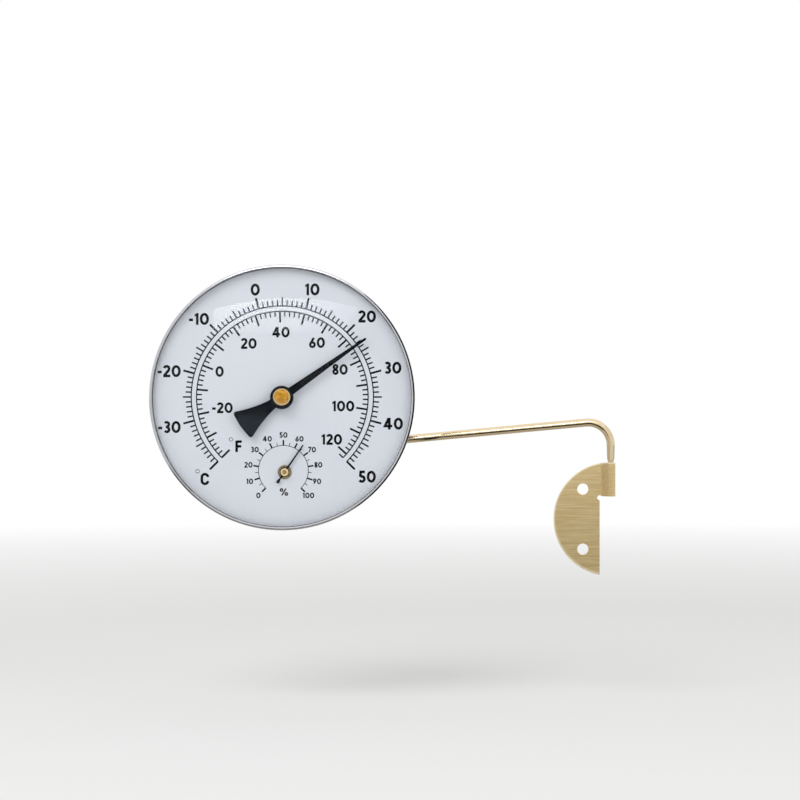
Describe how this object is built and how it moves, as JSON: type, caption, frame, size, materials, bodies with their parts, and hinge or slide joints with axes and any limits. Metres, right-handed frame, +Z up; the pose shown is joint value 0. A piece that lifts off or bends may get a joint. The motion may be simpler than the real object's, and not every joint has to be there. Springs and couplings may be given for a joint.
{
  "type": "garden thermometer",
  "caption": "Round wall thermometer with a small hygrometer in its white dial, on a bent brass arm that swivels on a half-moon wall plate.",
  "frame": {"origin": "midway between the wall plate's two screw holes, on the face that lies on the wall", "axes": "+Z up, +X to the right along the wall as seen from the front, -Y out of the wall; at rest the dial faces -Y"},
  "size_m": [0.2251, 0.0354, 0.1503],
  "materials": {
    "brushed_brass": "sheet brass with a fine straight grain, unlacquered pale gold",
    "drawn_brass": "drawn rod, semi-polished pale gold",
    "rivet_steel": "zinc plated",
    "case_steel": "pressed stainless sheet, satin",
    "bezel_steel": "rolled and polished",
    "lens_glass": "clear, domed",
    "gasket_rubber": "matte black",
    "dial_white": "semi-gloss white enamel with a black scale",
    "turned_brass": "turned, bright warm gold",
    "bracket_steel": "cold rolled strip",
    "spindle_steel": "ground",
    "bimetal_strip": "rolled strip, one side warmer than the other",
    "humidity_strip": "coated strip, matte",
    "pointer_black": "semi-gloss black lacquer",
    "boss_black": "moulded, glossy black"
  },
  "bodies": {
    "wall_bracket": {"wall_plate": "brushed_brass"},
    "arm": {"arm_rod": "drawn_brass"},
    "case": {"case_plate": "brushed_brass", "case_rivets": "rivet_steel", "case_cup": "case_steel", "bezel_ring": "bezel_steel", "lens": "lens_glass", "lens_gasket": "gasket_rubber", "dial_plate": "dial_white", "thermometer_bushing": "turned_brass", "thermometer_frame": "bracket_steel", "thermometer_rear_bush": "turned_brass", "thermometer_coil": "bimetal_strip", "thermometer_coil_rivet": "bracket_steel", "hygrometer_bushing": "turned_brass", "hygrometer_frame": "bracket_steel", "hygrometer_rear_bush": "turned_brass", "hygrometer_coil": "humidity_strip", "hygrometer_coil_rivet": "bracket_steel"},
    "thermometer_hand": {"thermometer_spindle": "spindle_steel", "thermometer_pointer": "pointer_black", "thermometer_boss": "boss_black", "thermometer_cap": "turned_brass"},
    "hygrometer_hand": {"hygrometer_spindle": "turned_brass", "hygrometer_pointer": "pointer_black", "hygrometer_button": "turned_brass"}
  },
  "joints": [
    {"name": "arm_swivel", "type": "hinge", "parent": "wall_bracket", "child": "arm", "pos_m": [0.0135, -0.0023, 0.0195], "axis": [0, 0, 1], "range_deg": [0, 180]},
    {"name": "dial_swivel", "type": "hinge", "parent": "arm", "child": "case", "pos_m": [-0.1459, -0.0023, 0.0624], "axis": [0, 0, -1], "range_deg": [0, 180]},
    {"name": "thermometer_pointer_turn", "type": "hinge", "parent": "case", "child": "thermometer_hand", "pos_m": [-0.1459, -0.02, 0.05948], "axis": [0, 1, 0], "range_deg": [-189.9, 80.1], "stiffness_Nm_per_rad": 0.003},
    {"name": "hygrometer_pointer_turn", "type": "hinge", "parent": "case", "child": "hygrometer_hand", "pos_m": [-0.1447, -0.02, 0.02388], "axis": [0, 1, 0], "range_deg": [-169.3, 100.7], "stiffness_Nm_per_rad": 0.0001}
  ]
}
